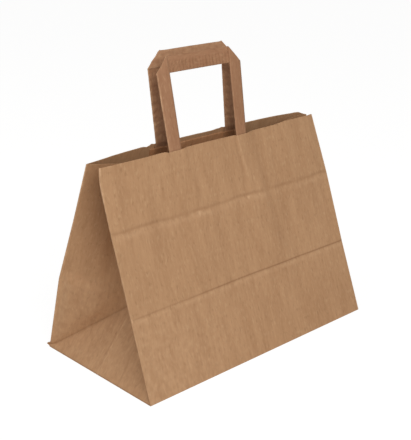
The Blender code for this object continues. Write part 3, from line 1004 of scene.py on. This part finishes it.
def build_handle(face, settings, tree, material):
    """One handle's strip, crimped, and lightened by rubbing along its edges, with painted
    highlights on its left leg's outer edge and folds, and its painted light and painted shade.
    """
    points, grid = handle_strip(face)
    across, x, rise, depth, run = np.moveaxis(grid, -1, 0)
    handle, edge = HANDLES[face], np.minimum(across, STRIP_WIDTH - across)
    inner = HANDLE_WIDTH / 2 - STRIP_WIDTH
    band, turned = depth > STRIP / 2, depth > 0.0001
    # Painted light and painted shade for the left leg, the band and the right leg
    painted_light, painted_shade = [
        np.where(band, middle, np.where(x > inner, right, left))
        for left, middle, right in (handle["painted_light"], handle["painted_shade"])
    ]
    # Painted highlight on the left leg's outer edge, and real rubbing along both edges of the strip
    painted_edge_highlight = 0.55 * bell(across, 0, 0.0009) * (x < -inner)
    wear_and_painted_light = np.maximum(painted_edge_highlight, 0.10 * bell(edge, 0, 0.0009))
    # Painted highlight on the folds turned over at the left
    wear_and_painted_light = wear_and_painted_light + 0.35 * (turned & (depth < STRIP)) * (x < 0)
    paper_map = stacked(across + WEB["strip"] + WEB[face], run)
    sheet = SheetMesh()
    sheet.add(points, paper_map, np.maximum(wear_and_painted_light, painted_light), painted_shade)
    strip = sheet.build(face + "_strip", material, recalculate=False)
    on_band, on_legs = handle["crimps"]
    on_band = on_band * (1 - ease(0.60, 0.80, across / STRIP_WIDTH))
    amount = np.where(band, on_band, on_legs) * ease(0, 0.0015, edge)
    amount = amount * ease(0.002, 0.008, rise) * np.where(turned, ease(0, 0.0005, depth), 1)
    point_values(strip.data, "run", run * np.where(band, 1.0, LEG_CRIMPS))
    point_values(strip.data, "crimp", amount)
    modifier = strip.modifiers.new("Crimps", "NODES")
    modifier.node_group = tree
    inputs = {
        "Crimp Pitch": settings.crimp_pitch,
        "Crimp Depth": settings.crimp_depth,
        "Unevenness": settings.unevenness,
        "Material": material,
    }
    for item in tree.interface.items_tree:
        if item.in_out == "INPUT" and item.name in inputs:
            modifier[item.identifier] = inputs[item.name]
    strip = plain_mesh(strip)
    thicken(strip, STRIP, 0, even=False)
    return strip


class BAG_OT_handles(bpy.types.Operator):
    """Folds both handles from their paper strips"""

    bl_idname = "paper_bag.handles"
    bl_label = "Folded Handles"

    def execute(self, context):
        settings = context.scene.bag_handles
        tree = crimp_tree()
        # Several layers of redder kraft, folded and crimped: darker, and uneven across its length
        material = kraft_paper("Brown kraft strip, folded and crimped", settings)
        for face in PANELS:
            strip = build_handle(face, settings, tree, material)
            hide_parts(face + "_handle")
            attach(strip, "root")
        return {"FINISHED"}


def build_patch(face, material):
    """The pasted patch: it steps over both feet and lies against the panel beside them."""
    shift = HANDLES[face]["shift"]
    edge = HANDLE_WIDTH / 2 + PATCH_MARGIN
    x = np.linspace(shift - edge, shift + edge, 135)
    height = np.linspace(RIM_ROW - FOOT_LENGTH - PATCH_MARGIN, RIM_ROW - PATCH_DROP, 25)
    across, up = np.meshgrid(x, height)
    near, far = PATCH_STEP
    raised = sum(
        ease(start - far, start - near, across) * (1 - ease(end + near, end + far, across))
        for start, end in foot_spans(face)
    )
    depth = PAPER + GLUE_GAP + PAPER / 2 + (STRIP + GLUE_GAP) * raised - STRIP_SEAT
    rise = up - RIM_ROW - RIM_CLEAR
    point, inside = strip_seat(face, across.reshape(-1), rise.reshape(-1))
    points = (point + inside * depth.reshape(-1)[:, None]).reshape(*across.shape, 3)
    sheet = SheetMesh()
    sheet.add(points, stacked(across + WEB["patch"], up))
    patch = sheet.build(face + "_patch", material, recalculate=False)
    thicken(patch, PAPER, 0)
    return patch


class BAG_OT_patches(bpy.types.Operator):
    """Builds the patches pasted over the handles' feet"""

    bl_idname = "paper_bag.patches"
    bl_label = "Pasted Patches"

    def execute(self, context):
        settings = context.scene.bag_patches
        # Plain uncrimped kraft of a redder brown, seen only inside the bag
        material = kraft_paper("Brown kraft paper, pasted patch", settings)
        for face in PANELS:
            patch = build_patch(face, material)
            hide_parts(face + "_handle_patch")
            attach(patch, "root")
        return {"FINISHED"}


def aim_camera():
    """The camera at the photograph's place, with its lens and tilt."""
    data = bpy.data.cameras.new("photo_camera")
    data.sensor_fit = "VERTICAL"
    data.sensor_height = 36.0
    data.lens = FOCAL_PIXELS / PHOTO_HEIGHT * data.sensor_height
    data.shift_x = (PHOTO_WIDTH / 2 - OPTICAL_CENTRE[0]) / PHOTO_HEIGHT
    data.shift_y = (OPTICAL_CENTRE[1] - PHOTO_HEIGHT / 2) / PHOTO_HEIGHT
    data.clip_start = 0.01
    camera = new_object("photo_camera", data)
    camera.matrix_world = Matrix.Translation(CAMERA_PLACE)
    for degrees, axis in ((-CAMERA_AZIMUTH, "Z"), (90 - CAMERA_DROP, "X"), (CAMERA_ROLL, "Z")):
        camera.matrix_world @= Matrix.Rotation(math.radians(degrees), 4, axis)
    bpy.context.scene.camera = camera


def softbox(name, watts):
    place, target, size = LAMPS[name]
    data = bpy.data.lights.new(name, "AREA")
    data.shape = "SQUARE"
    data.size = size
    data.energy = watts
    lamp = new_object(name, data)
    lamp.location = place
    lamp.rotation_euler = (Vector(target) - Vector(place)).to_track_quat("-Z", "Y").to_euler()


def seen_directly(tree):
    """1 for rays from the camera, and for those that a shine or a clear piece passes on."""
    rays = add(tree, "ShaderNodeLightPath").outputs
    seen = rays["Is Camera Ray"]
    for name in ("Is Glossy Ray", "Is Transmission Ray"):
        seen = add(tree, "ShaderNodeMath", {0: seen, 1: rays[name]}, operation="MAXIMUM").outputs[0]
    return seen


def studio_white():
    """Seamless white studio floor. Seen directly it is lifted towards white, and keeps a faint
    shadow; it lights the bag from below as matt white paper would."""
    material = bpy.data.materials.new("White seamless paper floor")
    tree = empty_tree(material)
    matt = add(tree, "ShaderNodeBsdfDiffuse", {"Color": linear("#f5f4f2")}).outputs[0]
    glow = {"Color": linear("#ffffff"), "Strength": FLOOR_GLOW}
    glow = add(tree, "ShaderNodeEmission", glow).outputs[0]
    lifted = add(tree, "ShaderNodeMixShader", {0: FLOOR_LIFT, 1: matt, 2: glow}).outputs[0]
    surface = add(tree, "ShaderNodeMixShader", {0: seen_directly(tree), 1: matt, 2: lifted})
    add(tree, "ShaderNodeOutputMaterial", {"Surface": surface.outputs[0]})
    return material


def light_room(strength):
    """A white room: it lights the bag evenly, and is plain white where the camera sees it."""
    world = bpy.data.worlds.new("White room")
    tree = empty_tree(world)
    room, white = [
        add(tree, "ShaderNodeBackground", {"Color": linear("#ffffff"), "Strength": much}).outputs[0]
        for much in (strength, 1.0)
    ]
    surface = add(tree, "ShaderNodeMixShader", {0: seen_directly(tree), 1: room, 2: white})
    add(tree, "ShaderNodeOutputWorld", {"Surface": surface.outputs[0]})
    bpy.context.scene.world = world


class BAG_OT_stage(bpy.types.Operator):
    """Sets up the floor, the lights and the camera"""

    bl_idname = "paper_bag.stage"
    bl_label = "Stage"

    def execute(self, context):
        settings = context.scene.bag_stage
        mesh = bpy.data.meshes.new("floor")
        half = FLOOR_HALF
        corners = [(-half, -half, 0), (half, -half, 0), (half, half, 0), (-half, half, 0)]
        mesh.from_pydata(corners, [], [(0, 1, 2, 3)])
        mesh.materials.append(studio_white())
        floor = new_object("floor", mesh)
        floor.location.z = -FLOOR_DROP
        light_room(settings.room)
        softbox("key_softbox", settings.key)
        softbox("back_softbox", settings.back)
        context.scene.view_settings.view_transform = "Standard"
        aim_camera()
        return {"FINISHED"}


class BAG_PT_panel(bpy.types.Panel):
    """Lists the bag's pieces"""

    bl_idname = "BAG_PT_panel"
    bl_label = "Paper Bag"
    bl_space_type = "VIEW_3D"
    bl_region_type = "UI"
    bl_category = "Paper Bag"

    def draw(self, context):
        for operator in OPERATORS:
            self.layout.operator(operator.bl_idname)
        for name in SETTINGS:
            settings = getattr(context.scene, name)
            for item in settings.bl_rna.properties:
                if item.identifier not in ("name", "rna_type"):
                    self.layout.prop(settings, item.identifier)


OPERATORS = (BAG_OT_stage, BAG_OT_sheet, BAG_OT_handles, BAG_OT_patches)
SETTINGS = {
    "bag_stage": StageSettings,
    "bag_sheet": SheetSettings,
    "bag_handles": HandleSettings,
    "bag_patches": PatchSettings,
}


def register():
    for item in (*SETTINGS.values(), *OPERATORS, BAG_PT_panel):
        bpy.utils.register_class(item)
    for name, group in SETTINGS.items():
        setattr(bpy.types.Scene, name, PointerProperty(type=group))


def unregister():
    for name in SETTINGS:
        delattr(bpy.types.Scene, name)
    for item in reversed((*SETTINGS.values(), *OPERATORS, BAG_PT_panel)):
        bpy.utils.unregister_class(item)


def main():
    register()
    bpy.ops.paper_bag.stage()
    bpy.ops.paper_bag.sheet()
    bpy.ops.paper_bag.handles()
    bpy.ops.paper_bag.patches()


if __name__ == "__main__":
    main()
